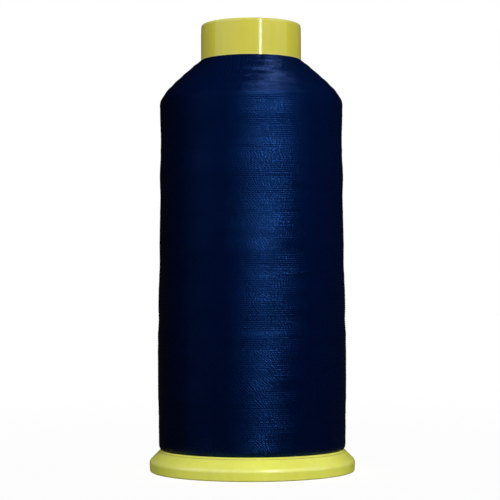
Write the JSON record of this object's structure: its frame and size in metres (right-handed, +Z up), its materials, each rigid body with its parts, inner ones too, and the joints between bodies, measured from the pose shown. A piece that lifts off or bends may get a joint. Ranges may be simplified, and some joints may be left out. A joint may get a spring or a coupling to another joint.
{
  "type": "embroidery thread spool",
  "caption": "Tall cylindrical thread package with a sloping shoulder, wound on a plastic tube whose bevelled snap-lock foot pulls open to hold the loose thread end.",
  "frame": {"origin": "on the spool's axis, in the plane that its foot stands on", "axes": "+Z up along the spool's axis, from the foot to the neck; X and Y go through the slots of the foot's hub"},
  "size_m": [0.062, 0.062, 0.135],
  "materials": {
    "tube_plastic": "glossy, slightly translucent yellow polypropylene",
    "foot_plastic": "glossy, slightly translucent yellow polypropylene",
    "thread": "navy twisted filament polyester with a silky sheen",
    "paper": "uncoated white label paper, bare"
  },
  "bodies": {
    "foot": {"snap_base": "foot_plastic", "base_label": "paper"},
    "spool": {"core_tube": "tube_plastic", "thread_winding": "thread"}
  },
  "joints": [
    {"name": "snap_lock_slide", "type": "slide", "parent": "foot", "child": "spool", "axis": [0, 0, 1], "range_m": [0, 0.003]}
  ]
}
